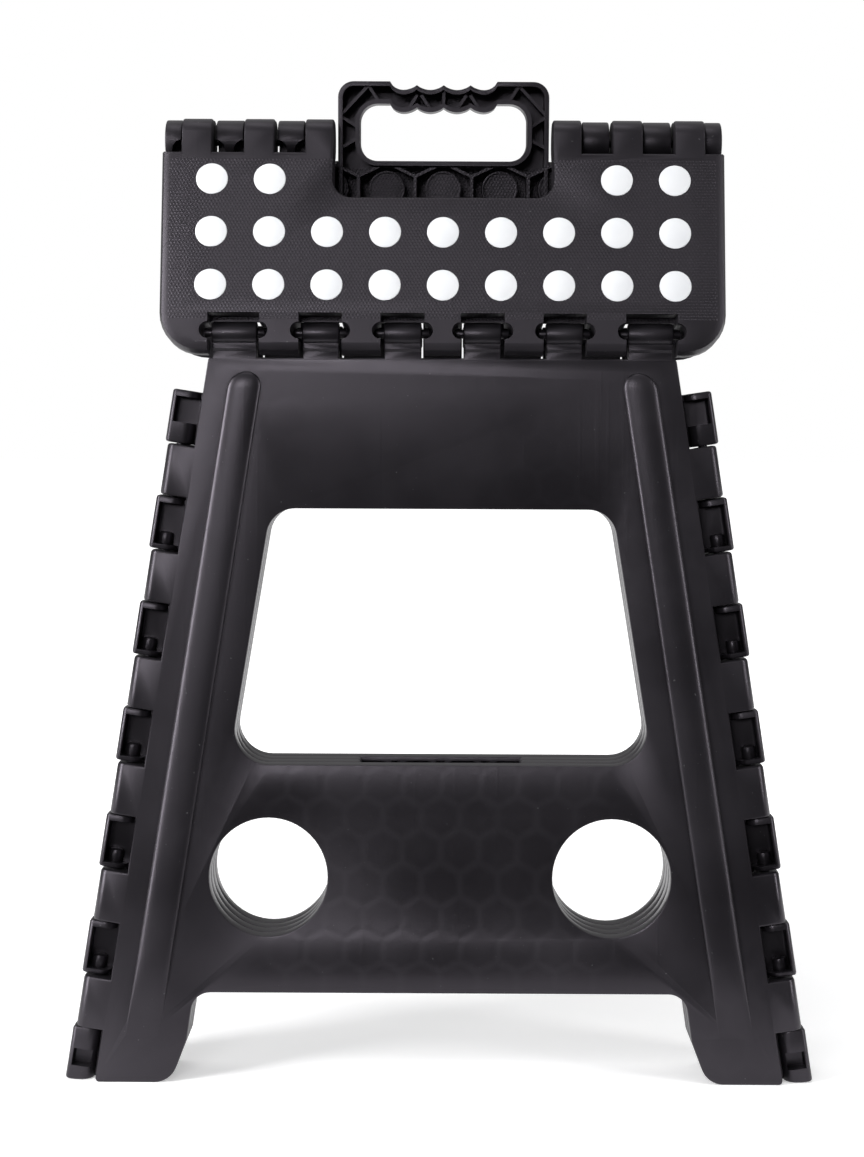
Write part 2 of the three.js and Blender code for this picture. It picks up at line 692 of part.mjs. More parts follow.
const frontSide = sidePanel(true);
addPart(stool, 'right_front_side_panel', frontSide, blackPlastic);
addPart(stool, 'left_front_side_panel', reflected(frontSide, 'x'), blackPlastic);
const rearSide = sidePanel(false);
addPart(stool, 'right_rear_side_panel', rearSide, blackPlastic);
addPart(stool, 'left_rear_side_panel', reflected(rearSide, 'x'), blackPlastic);

// The two seat halves lean together from the leg panels' tops to the centre hinge.
function seatGroup(prefix, isFront) {
  const group = new THREE.Group();
  group.rotation.x = isFront ? -SEAT_LEAN : SEAT_LEAN;
  group.position.z = CENTRE_Z;
  const face = (geometry) => (isFront ? geometry : reflected(geometry, 'y'));
  addPart(group, `${prefix}_seat_half`, face(isFront ? frontSeat() : rearSeat()), blackPlastic);
  for (const { row, across, x, z } of dotPlaces(isFront)) {
    const name = `${prefix}_dot_row${row + 1}_${across + DOT_COLUMNS + 1}`;
    const dot = mergeVertices(dotSolid(x, z, 0, DOT_DEPTH));
    addPart(group, name, face(dot), whitePlastic);
  }
  stool.add(group);
}

seatGroup('front', true);
seatGroup('rear', false);

export default stool;
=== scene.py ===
import json
import math

import bmesh
import bpy
from mathutils import Matrix, Vector


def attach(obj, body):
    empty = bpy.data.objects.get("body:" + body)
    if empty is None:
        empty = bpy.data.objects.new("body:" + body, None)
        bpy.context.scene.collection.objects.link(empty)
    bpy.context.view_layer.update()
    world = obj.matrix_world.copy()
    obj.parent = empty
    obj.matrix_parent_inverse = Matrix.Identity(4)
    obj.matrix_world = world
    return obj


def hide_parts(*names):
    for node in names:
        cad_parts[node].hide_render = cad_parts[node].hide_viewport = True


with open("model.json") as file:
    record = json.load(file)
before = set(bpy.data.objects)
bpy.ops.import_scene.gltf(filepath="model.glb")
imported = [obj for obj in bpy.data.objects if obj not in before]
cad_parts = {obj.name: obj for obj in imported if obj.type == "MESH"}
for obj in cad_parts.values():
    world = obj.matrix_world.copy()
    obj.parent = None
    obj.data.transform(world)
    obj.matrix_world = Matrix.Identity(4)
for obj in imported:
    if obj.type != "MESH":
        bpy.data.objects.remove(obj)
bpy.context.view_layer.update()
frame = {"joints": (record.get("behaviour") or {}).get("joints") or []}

joints = {joint["name"]: joint for joint in frame["joints"]}

# Sizes are in millimetres, and are turned into metres where a mesh is made.
MM = 0.001


def joint_mm(name):
    """A joint's place in the row frame, in millimetres."""
    return [value / MM for value in joints[name]["pos_m"]]


# ---- sizes taken from the frame ----
HINGE_X, HINGE_Y, _ = joint_mm("fold")
MID_X = joint_mm("right_middle_hinge")[0]
_, SEAT_HINGE_Y, SEAT_HINGE_Z = joint_mm("front_seat_hinge")
CENTRE_Z = joint_mm("centre_seat_hinge")[2]
FOLD_AXIS = joints["fold"]["axis"]
TILT = math.atan2(FOLD_AXIS[0], -FOLD_AXIS[2])
LEG_SLOPE = math.tan(TILT)
PANEL = -HINGE_Y

# ---- moulding sizes ----
GAP = 0.3
SKIN = 2.6
WALL = 2.4
RIB = 1.6
LEG_TOP = 377.4
REAR_LEG_TOP = 371.0
BODY_EDGE = 8.0
FOOT_CLEAR = 1.0
FLOOR_GAP = 0.4
EDGE = 0.8
SMALL_R = 2.0
MERGE = 1e-3  # points nearer than this are one point
SHARP_ANGLE = 32.0  # edges that turn more than this stay sharp

WINDOW_LOW, WINDOW_HIGH = 165.6, 298.8
WINDOW_HALF, WINDOW_SLOPE = 136.6, 0.1596
WINDOW_LOW_R, WINDOW_HIGH_R = 18.0, 15.0
HOLE_X, HOLE_Z, HOLE_R = 89.3, 107.0, 30.8
ARCH_TOP, ARCH_R = 46.8, 10.0
FOOT_HALF, FOOT_SLOPE = 134.7, 0.146
FOOT_CUT_Z, FOOT_CUT_R = 21.7, 8.0
FOOT_TOE_X, FOOT_TOE_R = 139.7, 12.0

BEAD_X, BEAD_HALF, BEAD_PROUD = 158.2, 8.9, 2.6
BEAD_LOW, BEAD_HIGH = 24.0, 370.0
BEAD_FADE = 40.0  # the height over which the bead rises from the foot
BEAD_SIDES, BEAD_STATIONS, BEAD_ROUND_STATIONS = 18, 40, 14
BEAD_FULLNESS = 0.85  # below 1 makes the bead's section fuller than a sine

BARREL_R = 6.3
KNUCKLE_OUT = 8.1
REAR_OPENING = 1.1
KNUCKLE_PITCH = 56.1
SIDE_KNUCKLES = 7
SIDE_KNUCKLE_FIRST = 13.6
SIDE_KNUCKLE_LENGTH = 27.9
LEG_KNUCKLE_LENGTH = 26.9
LOOSE_ROOM = 0.8
KNUCKLE_ROUND = 4.5
KNUCKLE_ROOT = 12.0
KNUCKLE_EDGE = 1.3
PIN_R = 2.4
PIN_REACH = 3.4
CORNER_FRONT_R, CORNER_BACK_R = 2.4, 4.0
POCKET_WALL = 2.2
POCKET_FRONT = -BARREL_R - 2
POCKET_INNER, POCKET_BACK, POCKET_R = -8.6, 3.4, 1.6
NARROW_INNER, NARROW_BACK, NARROW_R = -4.0, 1.5, 1.2
POCKET_FLOOR, POCKET_ROOF = 2.6, 3.4
FIRST_POCKET_FLOOR, FIRST_POCKET_ROOF = 7.5, 2.5
LAST_POCKET_FLOOR = 3.0
STUB_X, STUB_Y, STUB_R, STUB_HEIGHT, STUB_EDGE = 0.6, 0.8, 3.7, 6.5, 1.2

MID_R, MID_EDGE, MID_GAP, MID_ROOT = 5.7, 9.0, 0.8, 2.5
MID_PIN_REACH = 2.4
MID_BANDS = ((49.0, 163.5, 8), (301.0, 361.0, 4))
SIDE_TOP = 363.0

SEAT_HINGE_R = 5.8
SEAT_HINGE_DEPTH = 8.0
NECK_WALL, NECK_PROUD = 2.6, 1.5
SEAT_LIP = 11.5
SEAT_HALF = 146.7
SEAT_THICK = 19.0
SEAT_CORNER = 21.0
SEAT_EDGE = 2.2
CENTRE_SLOT = 9.8
FINGER_REACH = 9.2
FINGER_FRONT_R = 8.6
FINGER_R = 11.0
FINGER_SCOOP_R = 11.4
GUSSET = 0.7
GUSSET_TOP = -3.5
SCOOP_ROOM = 0.4
SEAT_RIM = 9.0  # the lip's outer cells start this far in
CHAMFER_DEPTH, CHAMFER_HEIGHT = 7.0, 8.0
SOCKET_R, SOCKET_DEPTH = 3.0, 3.2
SEAT_PIN_REACH = 2.5
SEAT_ROUND = 5.0  # rounding of the front side edges
LEG_FINGERS = ((20.7, 9.8), (63.2, 9.6), (108.0, 11.75))
FINGER_SIDE_GAP, REAR_SIDE_GAP = 1.6, 0.5
FRONT_SLOT_TOP, REAR_SLOT_TOP = 9.2, 10.6
FRONT_FINGERS = ((57.2, 72.0), (88.2, 103.9), (120.6, 136.3))
REAR_FINGERS = ((72.9, 87.3), (104.8, 119.7), (137.2, 146.4))
NOTCH_R = 4.4
OUTERMOST = SEAT_HALF - 5  # an edge past this belongs to the last finger of a row
FINGER_NOTCH_R = 5.2
FINGER_NOTCH_Z = -4.6

RECESS_HALF, RECESS_DEPTH, RECESS_R = 57.2, 33.5, 9.0
RECESS_LEDGE = 1.5
HANDLE_HALF, HANDLE_TOP, HANDLE_R = 55.9, 32.0, 8.4
GRIP_HALF, GRIP_LOW, GRIP_HIGH, GRIP_R = 44.4, -9.8, 20.2, 9.5
SCALLOPS, SCALLOP_PITCH, SCALLOP_DIP, SCALLOP_CUSP = 4, 14.2, 4.4, 1.9

DOT_PITCH_X, DOT_PITCH_Z, DOT_FIRST = 30.05, 27.8, 24.5
DOT_HALF_X, DOT_HALF_Z, DOT_DEPTH = 8.3, 8.05, 1.5
BOSS_R, BOSS_HEIGHT, BOSS_RIM = 9.7, 11.0, 1.3
HEX_PITCH = 24.0

SEAT_REACH = math.sqrt(
    (CENTRE_Z - SEAT_HINGE_Z) ** 2 + SEAT_HINGE_Y**2 - SEAT_HINGE_DEPTH**2)
SEAT_LEAN = (math.atan2(-SEAT_HINGE_Y, CENTRE_Z - SEAT_HINGE_Z)
             - math.atan2(SEAT_HINGE_DEPTH, SEAT_REACH))

# ---- directions: an outline (u, v) and its depth w, placed in the row frame ----
FACING = Matrix(((1, 0, 0, 0), (0, 0, 1, 0), (0, 1, 0, 0), (0, 0, 0, 1)))   # x, z outline, depth along y
ALONG_X = Matrix(((0, 0, 1, 0), (1, 0, 0, 0), (0, 1, 0, 0), (0, 0, 0, 1)))  # y, z outline, length along x
SIDE_HINGE = (Matrix.Translation((HINGE_X, HINGE_Y, 0))
              @ Matrix.Rotation(-TILT, 4, "Y"))
MIRROR_X = Matrix.Diagonal((-1, 1, 1, 1))
MIRROR_Y = Matrix.Diagonal((1, -1, 1, 1))


# ---- outlines ----
def arc(cx, cy, radius, start, end, steps=10):
    """Points on a circle, with the angles in degrees."""
    points = []
    for i in range(steps + 1):
        angle = math.radians(start + (end - start) * i / steps)
        points.append((cx + radius * math.cos(angle), cy + radius * math.sin(angle)))
    return points


def ring(cx, cy, radius, steps=64):
    """A full circle."""
    return arc(cx, cy, radius, 0, 360, steps)[:-1]


def rounded(corners, steps=8):
    """A closed outline through corners (x, y, radius), each rounded by an arc."""
    points = []
    for i, corner in enumerate(corners):
        x, y, radius = (*corner, 0.0)[:3]
        if radius <= 0:
            points.append((x, y))
            continue
        here = Vector((x, y))
        before = (Vector(corners[i - 1][:2]) - here).normalized()
        after = (Vector(corners[(i + 1) % len(corners)][:2]) - here).normalized()
        half = before.angle(after) / 2
        centre = here + (before + after).normalized() * (radius / math.sin(half))
        start = here + before * (radius / math.tan(half)) - centre
        turn = start.angle_signed(here + after * (radius / math.tan(half)) - centre)
        for k in range(steps + 1):
            angle = -turn * k / steps
            cosine, sine = math.cos(angle), math.sin(angle)
            points.append((centre.x + start.x * cosine - start.y * sine,
                           centre.y + start.x * sine + start.y * cosine))
    return points


def both_sides(right):
    """The corners of a right half and their mirror images."""
    return list(right) + [(-corner[0], *corner[1:]) for corner in reversed(right)]


def body_half(z, inset=0.0):
    """Half the width of a leg panel's body at a height."""
    return HINGE_X - (BODY_EDGE + inset) / math.cos(TILT) - LEG_SLOPE * z


def window_half(z, inset=0.0):
    """Half the width of the window at a height."""
    return WINDOW_HALF - WINDOW_SLOPE * z + inset


def foot_half(z, inset=0.0):
    """Half the width of the arch between the feet at a height."""
    return FOOT_HALF - FOOT_SLOPE * z + inset


# ---- mesh work ----
def new_object(name, mesh):
    obj = bpy.data.objects.new(name, mesh)
    bpy.context.scene.collection.objects.link(obj)
    return obj


def clean(mesh, place):
    """Merges doubled points, places the mesh and turns its faces the right way out."""
    work = bmesh.new()
    work.from_mesh(mesh)
    bmesh.ops.remove_doubles(work, verts=work.verts, dist=MERGE)
    work.transform(place)
    if place.determinant() < 0:
        bmesh.ops.reverse_faces(work, faces=work.faces)
    work.to_mesh(mesh)
    work.free()
    return mesh


def prism(loops, low, high, place=FACING, edge=0.0):
    """A solid from closed outlines, from low to high along w, with its edges rounded by edge."""
    curve = bpy.data.curves.new("outline", "CURVE")
    curve.dimensions = "2D"
    curve.fill_mode = "BOTH"
    for loop in loops:
        spline = curve.splines.new("POLY")
        spline.points.add(len(loop) - 1)
        for point, (u, v) in zip(spline.points, loop):
            point.co = (u, v, 0, 1)
        spline.use_cyclic_u = True
    curve.extrude = (high - low) / 2 - edge
    if edge:
        curve.bevel_depth = edge
        curve.bevel_resolution = 1
        curve.offset = -edge
    obj = new_object("outline", curve)
    graph = bpy.context.evaluated_depsgraph_get()
    mesh = bpy.data.meshes.new_from_object(obj.evaluated_get(graph))
    bpy.data.objects.remove(obj)
    bpy.data.curves.remove(curve)
    clean(mesh, place @ Matrix.Translation((0, 0, (low + high) / 2)))
    return new_object("solid", mesh)


def box(x0, x1, y0, y1, z0, z1, edge=0.0):
    return prism([[(x0, z0), (x1, z0), (x1, z1), (x0, z1)]], y0, y1, FACING, edge)


def copied(obj, place):
    """A second object with the same mesh, placed."""
    mesh = obj.data.copy()
    clean(mesh, place)
    return new_object("solid", mesh)


def gathered(objects):
    """One object from solids that don't touch each other."""
    work = bmesh.new()
    for obj in objects:
        work.from_mesh(obj.data)
        bpy.data.objects.remove(obj)
    mesh = bpy.data.meshes.new("solid")
    work.to_mesh(mesh)
    work.free()
    return new_object("solid", mesh)


def combine(target, tool, operation):
    """Joins, cuts or intersects target with tool, and uses the tool up."""
    modifier = target.modifiers.new("combine", "BOOLEAN")
    modifier.operation = operation
    modifier.object = tool
    modifier.solver = "MANIFOLD"
    graph = bpy.context.evaluated_depsgraph_get()
    mesh = bpy.data.meshes.new_from_object(target.evaluated_get(graph))
    target.modifiers.clear()
    old = target.data
    target.data = mesh
    bpy.data.meshes.remove(old)
    bpy.data.objects.remove(tool)
    if not mesh.vertices:
        raise ValueError(f"nothing is left of {target.name} after {operation}")
    return target


def join(target, tools):
    for tool in tools:
        combine(target, tool, "UNION")
    return target


def cut(target, tools):
    for tool in tools:
        combine(target, tool, "DIFFERENCE")
    return target


def finish_piece(obj, name, node, body, material):
    """Names a piece, gives it its material and shading, and puts it in its CAD node's place."""
    work = bmesh.new()
    work.from_mesh(obj.data)
    bmesh.ops.remove_doubles(work, verts=work.verts, dist=2 * MERGE)
    bmesh.ops.dissolve_degenerate(work, edges=work.edges, dist=MERGE)
    work.transform(Matrix.Scale(MM, 4))
    for face in work.faces:
        face.smooth = True
    for edge in work.edges:
        edge.smooth = len(edge.link_faces) == 2 and edge.calc_face_angle(0) < math.radians(SHARP_ANGLE)
    work.to_mesh(obj.data)
    work.free()
    obj.name = name
    obj.data.name = name
    obj.data.materials.clear()
    obj.data.materials.append(material)
    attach(obj, body)
    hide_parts(node)
    return obj


# ---- honeycomb behind the skins ----
def hexagon(cx, cy, half):
    """A hexagon with a point at the top, half wide from its middle to a side."""
    reach = half / math.cos(math.radians(30))
    return [(cx + reach * math.sin(math.radians(a)), cy + reach * math.cos(math.radians(a)))
            for a in range(0, 360, 60)]


def hexagons(x0, x1, z0, z1, pitch):
    """Hexagons a rib apart, in rows that are half a cell out of step."""
    cells = []
    row_height = pitch * math.cos(math.radians(30))
    rows = int((z1 - z0) / row_height) + 2
    columns = int((x1 - x0) / pitch) + 2
    for row in range(rows):
        shift = pitch / 2 if row % 2 else 0.0
        for column in range(columns):
            cells.append(hexagon(x0 + column * pitch + shift, z0 + row * row_height, (pitch - RIB) / 2))
    return cells


# ---- leg panels ----
def leg_loops(top, wider, inset=0.0):
    """A leg panel's outline, window and round holes; wider opens the window and the arch."""
    low, high, arch = inset, top - inset, ARCH_TOP + inset
    outline = rounded(both_sides([
        (foot_half(arch, inset + wider), arch, ARCH_R),
        (foot_half(FOOT_CUT_Z, inset + wider), FOOT_CUT_Z, FOOT_CUT_R),
        (FOOT_TOE_X + inset, low, FOOT_TOE_R - inset),
        (body_half(low, inset), low, SMALL_R),
        (body_half(high, inset), high, SMALL_R),
    ]))
    sill, lintel = WINDOW_LOW - inset, WINDOW_HIGH + inset
    window = rounded(both_sides([
        (window_half(sill, inset + wider), sill, WINDOW_LOW_R + inset),
        (window_half(lintel, inset + wider), lintel, WINDOW_HIGH_R + inset),
    ]), 12)
    holes = [ring(side * HOLE_X, HOLE_Z, HOLE_R + inset) for side in (-1, 1)]
    return [outline, window, *holes]


def leg_knuckle_loop():
    """Flush with the front face, rounded at the outer corner, round behind."""
    return [
        (-KNUCKLE_ROOT, -PANEL),
        *arc(BARREL_R - KNUCKLE_ROUND, KNUCKLE_ROUND - PANEL, KNUCKLE_ROUND, -90, 0, 8),
        *arc(0, 0, BARREL_R, 0, 180, 16),
        (-BARREL_R, -GAP),
        (-KNUCKLE_ROOT, -GAP),
    ]


def side_knuckle_loop():
    """Round towards the leg panel, boxed out to the stool's side."""
    front, back = CORNER_FRONT_R, CORNER_BACK_R
    return [
        (-KNUCKLE_ROOT, GAP),
        (-BARREL_R, GAP),
        *arc(0, 0, BARREL_R, 180, 270, 10),
        *arc(KNUCKLE_OUT - front, front - BARREL_R, front, -90, 0, 5),
        *arc(KNUCKLE_OUT - back, BARREL_R - back, back, 0, 90, 6),
        (-KNUCKLE_ROOT, BARREL_R),
    ]


def middle_knuckle_loop():
    """Round about the middle hinge, with a root that runs into the panel."""
    root = -MID_EDGE - MID_ROOT
    return [(root, GAP), (-MID_R, GAP), *arc(0, 0, MID_R, 180, 450, 24), (root, MID_R)]


def knuckle_middle(i):
    """The height of the middle of a side panel's knuckle, along the hinge."""
    return SIDE_KNUCKLE_FIRST + i * KNUCKLE_PITCH


def leg_knuckles(with_pins):
    """The right edge's knuckles, and the pins that join them."""
    knuckles, pins = [], []
    room = 0.0 if with_pins else LOOSE_ROOM
    for i in range(SIDE_KNUCKLES - 1):
        middle = knuckle_middle(i) + KNUCKLE_PITCH / 2
        low = middle - LEG_KNUCKLE_LENGTH / 2 + room
        high = middle + LEG_KNUCKLE_LENGTH / 2 - room
        knuckles.append(prism([leg_knuckle_loop()], low, high, SIDE_HINGE, KNUCKLE_EDGE))
        if with_pins:
            pins.append(prism([ring(0, 0, PIN_R, 24)], low - PIN_REACH, high + PIN_REACH, SIDE_HINGE, 0.8))
    solids = [gathered(knuckles)]
    if pins:
        solids.append(gathered(pins))
    return solids


def bead_solid():
    """The half-round bead down a leg: round at its upper end, fading out at the foot."""
    work = bmesh.new()
    rings = []
    round_low = BEAD_HIGH - BEAD_HALF
    heights = [BEAD_LOW + (round_low - BEAD_LOW) * k / BEAD_STATIONS for k in range(BEAD_STATIONS)]
    for k in range(BEAD_ROUND_STATIONS + 1):
        turn = math.pi / 2 * k / BEAD_ROUND_STATIONS
        heights.append(BEAD_HIGH - BEAD_HALF * (1 - math.sin(turn)))
    for z in heights:
        from_top = (BEAD_HIGH - z) / BEAD_HALF
        end = math.sqrt(max(0.0, 1 - (1 - min(from_top, 1.0)) ** 2))
        fade = min(1.0, (z - BEAD_LOW) / BEAD_FADE)
        half = BEAD_HALF * max(end, 0.04)
        proud = BEAD_PROUD * max(end, 0.04) * max(fade * fade * (3 - 2 * fade), 0.02)
        centre = BEAD_X - LEG_SLOPE * z
        loop = []
        for j in range(BEAD_SIDES + 1):
            angle = math.pi * j / BEAD_SIDES
            rise = math.sin(angle) ** BEAD_FULLNESS
            loop.append(work.verts.new((centre - half * math.cos(angle), -2 * PANEL - proud * rise, z)))
        loop.append(work.verts.new((centre + half, -2 * PANEL + 1, z)))
        loop.append(work.verts.new((centre - half, -2 * PANEL + 1, z)))
        rings.append(loop)
    for lower, upper in zip(rings, rings[1:]):
        for j in range(len(lower)):
            follow = (j + 1) % len(lower)
            work.faces.new((lower[j], lower[follow], upper[follow], upper[j]))
    work.faces.new(rings[0])
    work.faces.new(reversed(rings[-1]))
    bmesh.ops.recalc_face_normals(work, faces=work.faces)
    mesh = bpy.data.meshes.new("bead")
    work.to_mesh(mesh)
    work.free()
    return new_object("bead", mesh)


def seat_fingers(top, with_pins):
    """The barrels of the seat hinge on a leg panel's top edge, with their necks."""
    barrels, necks, pins = [], [], []
    face, back = -2 * PANEL, -PANEL - GAP - NECK_WALL
    neck = [
        (face, top - 4),
        (back, top - 4),
        (back, SEAT_HINGE_Z),
        (face - NECK_PROUD, SEAT_HINGE_Z),
        (face - NECK_PROUD, SEAT_HINGE_Z - 8),
        (face, SEAT_HINGE_Z - 8 - NECK_PROUD),
    ]
    for side in (-1, 1):
        for middle, half in LEG_FINGERS:
            low, high = side * middle - half, side * middle + half
            loop = ring(SEAT_HINGE_Y, SEAT_HINGE_Z, SEAT_HINGE_R, 40)
            barrels.append(prism([loop], low, high, ALONG_X, 0.9))
            necks.append(prism([neck], low + 0.4, high - 0.4, ALONG_X, 0.3))
            if with_pins:
                reach = FINGER_SIDE_GAP + 2.2
                pins.append(prism([ring(SEAT_HINGE_Y, SEAT_HINGE_Z, PIN_R, 24)],
                                  low - reach, high + reach, ALONG_X, 0.3))
    solids = [gathered(necks), gathered(barrels)]
    if pins:
        solids.append(gathered(pins))
    return solids


def leg_panel(top, wider, seat_pins, left_pins, right_pins):
    """A leg panel on the front side: skin, honeycomb, beads, knuckles and seat hinge."""
    front, back = -2 * PANEL, -PANEL - GAP
    panel = prism(leg_loops(top, wider), front, back, FACING, EDGE)
    cells = prism(hexagons(-HEX_PITCH * 8, HEX_PITCH * 8, 8, LEG_TOP, HEX_PITCH), front + SKIN, back + 1)
    combine(cells, prism(leg_loops(top, wider, WALL), front, back + 2), "INTERSECT")
    cut(panel, [cells])
    bead = bead_solid()
    parts = [copied(bead, MIRROR_X), bead]
    parts += leg_knuckles(right_pins)
    for solid in leg_knuckles(left_pins):
        parts.append(copied(solid, MIRROR_X))
        bpy.data.objects.remove(solid)
    parts += seat_fingers(top, seat_pins)
    return join(panel, parts)


# ---- side panels ----
def side_loops(inset=0.0):
    """The right side panel's outline, which takes in half the window, and its round hole."""
    inner = MID_X + MID_EDGE + inset
    low, high, arch = FOOT_CLEAR + inset, SIDE_TOP - inset, ARCH_TOP + inset
    sill, lintel = WINDOW_LOW - inset, WINDOW_HIGH + inset
    outline = rounded([
        (inner, arch),
        (foot_half(arch, inset), arch, ARCH_R),
        (foot_half(FOOT_CUT_Z, inset), FOOT_CUT_Z, FOOT_CUT_R),
        (FOOT_TOE_X + inset, low, FOOT_TOE_R - inset),
        (body_half(low, inset), low, SMALL_R),
        (body_half(high, inset), high, SMALL_R),
        (inner, high, SMALL_R),
        (inner, lintel, SMALL_R),
        (window_half(lintel, inset), lintel, WINDOW_HIGH_R + inset),
        (window_half(sill, inset), sill, WINDOW_LOW_R + inset),
        (inner, sill, SMALL_R),
    ])
    return [outline, ring(HOLE_X, HOLE_Z, HOLE_R + inset)]


def outer_knuckles():
    """The right outer edge's knuckles, their front pockets, and the stub in each pocket."""
    solids, hollows, stubs = [], [], []
    wall = KNUCKLE_OUT - POCKET_WALL
    wide = [(POCKET_INNER, POCKET_FRONT), (wall, POCKET_FRONT), (wall, POCKET_BACK, POCKET_R),
            (POCKET_INNER, POCKET_BACK)]
    narrow = [(NARROW_INNER, POCKET_FRONT), (wall, POCKET_FRONT), (wall, NARROW_BACK, NARROW_R),
              (NARROW_INNER, NARROW_BACK, NARROW_R)]
    for i in range(SIDE_KNUCKLES):
        middle = knuckle_middle(i)
        low = middle - SIDE_KNUCKLE_LENGTH / 2
        high = middle + SIDE_KNUCKLE_LENGTH / 2
        solids.append(prism([side_knuckle_loop()], low, high, SIDE_HINGE, KNUCKLE_EDGE))
        floor, roof, outline = low + POCKET_FLOOR, high - POCKET_ROOF, wide
        if i == 0:
            floor, roof, outline = low + FIRST_POCKET_FLOOR, middle + FIRST_POCKET_ROOF, narrow
        if i == SIDE_KNUCKLES - 1:
            floor = middle - LAST_POCKET_FLOOR
        hollows.append(prism([rounded(outline, 4)], floor, roof, SIDE_HINGE))
        if 0 < i < SIDE_KNUCKLES - 1:
            stub = ring(STUB_X, STUB_Y, STUB_R, 28)
            stubs.append(prism([stub], floor - 1, floor + STUB_HEIGHT, SIDE_HINGE, STUB_EDGE))
    return gathered(solids), gathered(hollows), gathered(stubs)


def middle_knuckles(is_front):
    """The upright hinge's knuckles; the front panel takes the even ones."""
    knuckles, pins = [], []
    turn = Matrix.Translation((MID_X, 0, 0)) @ MIRROR_X
    if is_front:
        turn = turn @ MIRROR_Y
    for low, high, count in MID_BANDS:
        pitch = (high - low) / count
        for i in range(0 if is_front else 1, count, 2):
            start = low + i * pitch + MID_GAP / 2
            end = low + (i + 1) * pitch - MID_GAP / 2
            knuckles.append(prism([middle_knuckle_loop()], start, end, turn, 0.6))
            if is_front:
                pin_low = start if i == 0 else start - MID_PIN_REACH
                pin_high = end if i == count - 1 else end + MID_PIN_REACH
                pins.append(prism([ring(0, 0, PIN_R, 24)], pin_low, pin_high, turn, 0.3))
    solids = [gathered(knuckles)]
    if pins:
        solids.append(gathered(pins))
    return solids


def side_panel(is_front):
    """The right front or right rear side panel."""
    front, back = -PANEL + GAP, -GAP
    panel = prism(side_loops(), front, back, FACING, EDGE)
    cells = prism(hexagons(MID_X, MID_X + HEX_PITCH * 7, 8, SIDE_TOP, HEX_PITCH), front - 1, back - SKIN)
    combine(cells, prism(side_loops(WALL), front - 2, back), "INTERSECT")
    cut(panel, [cells])
    knuckles, hollows, stubs = outer_knuckles()
    cut(knuckles, [box(100, 220, -30, 30, -20, FLOOR_GAP)])
    join(panel, [knuckles])
    cut(panel, [hollows])
    join(panel, [stubs])
    if not is_front:
        clean(panel.data, MIRROR_Y)
    return join(panel, middle_knuckles(is_front))


# ---- seat halves, in a frame with z up from the centre hinge and y 0 on the underside ----
def wave(level, steps=10):
    """Four finger scallops along an edge, from right to left."""
    count = SCALLOPS * steps
    points = []
    for i in range(count + 1):
        x = (SCALLOPS / 2 - i / steps) * SCALLOP_PITCH
        hollow = abs(math.sin(math.pi * i / steps)) ** 0.8
        outer = min(i, count - i) / steps
        rim = SCALLOP_CUSP * math.sin(math.pi / 2 * min(outer, 1.0)) ** 0.5
        points.append((x, level - rim - (SCALLOP_DIP - rim) * hollow))
    return points


def seat_loops(is_front, inset=0.0):
    """A seat half's outline, with the handle's recess in the front one."""
    half = SEAT_HALF - inset
    low, high = -SEAT_REACH - SEAT_LIP + inset, -CENTRE_SLOT - inset
    right = [(half, low, SEAT_CORNER - inset), (half, high)]
    if is_front:
        recess = RECESS_HALF + inset
        right += [(recess, high), (recess, -RECESS_DEPTH - inset, RECESS_R + inset)]
    return [rounded(both_sides(right))]


def handle_loop(inset=0.0):
    """The handle's outer outline, scalloped along its top."""
    half, top, radius = HANDLE_HALF - inset, HANDLE_TOP - inset, HANDLE_R - inset
    low = -RECESS_DEPTH - 12
    return [(half, low), *arc(half - radius, top - radius, radius, 0, 90), *wave(top),
            *arc(radius - half, top - radius, radius, 90, 180), (-half, low)]


def grip_loop(inset=0.0):
    """The finger opening's outline, scalloped along its top."""
    radius = GRIP_R + inset
    low, high = GRIP_LOW - inset, GRIP_HIGH + inset
    side, bottom, top = GRIP_HALF + inset - radius, low + radius, high - radius
    return [
        *arc(side, bottom, radius, -90, 0),
        *arc(side, top, radius, 0, 90),
        *wave(high),
        *arc(-side, top, radius, 90, 180),
        *arc(-side, bottom, radius, 180, 270),
    ]


def dot_places(is_front):
    """Row, place in the row, x and z of each dot; the handle's recess takes some of the front ones."""
    places = []
    for row in range(3):
        for across in range(-4, 5):
            x = across * DOT_PITCH_X
            if row or not is_front or abs(x) > RECESS_HALF + 2 * DOT_HALF_X:
                places.append((row, across, x, -DOT_FIRST - row * DOT_PITCH_Z))
    return places


def oval(x, z, grow=0.0):
    """A dot's outline."""
    return [(x + (DOT_HALF_X + grow) * u, z + (DOT_HALF_Z + grow) * v) for u, v in ring(0, 0, 1, 48)]


def seat_cells():
    """Six-sided cells round each dot, and the four-sided ones between their rows."""
    wide, tall = DOT_PITCH_X / 2, DOT_PITCH_Z / 2
    shoulder = tall * 0.47
    inset = RIB / 2
    cells = []
    for row in range(-2, 5):
        for across in range(-5, 6):
            x, z = across * DOT_PITCH_X, -DOT_FIRST - row * DOT_PITCH_Z
            side, point, bend = wide - inset, tall - inset * 1.15, shoulder - inset * 0.35
            cells.append([(x + side, z - bend), (x + side, z + bend), (x, z + point),
                          (x - side, z + bend), (x - side, z - bend), (x, z - point)])
            x, z = x + wide, z - tall
            across_half, up_half = wide - inset * 2.1, tall - shoulder - inset * 1.1
            cells.append([(x + across_half, z), (x, z + up_half), (x - across_half, z), (x, z - up_half)])
    return cells


